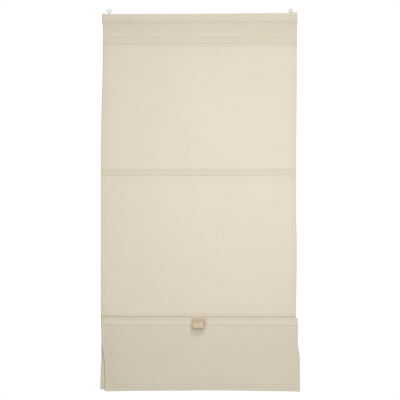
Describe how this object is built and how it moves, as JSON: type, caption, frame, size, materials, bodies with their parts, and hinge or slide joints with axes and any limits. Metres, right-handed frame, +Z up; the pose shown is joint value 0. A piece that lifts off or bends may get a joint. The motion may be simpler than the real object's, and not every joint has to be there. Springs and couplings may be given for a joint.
{
  "type": "roman blind",
  "caption": "Cloth roman blind on a wooden rail hung from screw eyes, raised by one flat fold that a sprung clip with a finger scoop holds up.",
  "frame": {"origin": "centre of the left screw eye's ring, seen from the room", "axes": "+X right across the blind, +Y towards the wall or window, +Z up"},
  "size_m": [0.612, 0.0361, 1.1702],
  "materials": {
    "cloth": "plain woven cotton and linen, natural cream",
    "tape": "woven cotton tape",
    "rail_wood": "planed bare pine",
    "batten_wood": "bare wood strip",
    "bar_steel": "bright drawn steel",
    "eye_nickel": "nickel plated wire",
    "clip_plastic": "moulded, satin tan"
  },
  "bodies": {
    "root": {"cloth": "cloth", "top_rail": "rail_wood", "bottom_bar": "bar_steel", "fold_clip": "clip_plastic", "batten_middle": "batten_wood", "tape_middle": "tape", "batten_lower": "batten_wood", "tape_lower": "tape", "batten_raised": "batten_wood", "tape_raised": "tape", "screw_eye_left": "eye_nickel", "screw_eye_right": "eye_nickel"}
  },
  "joints": []
}
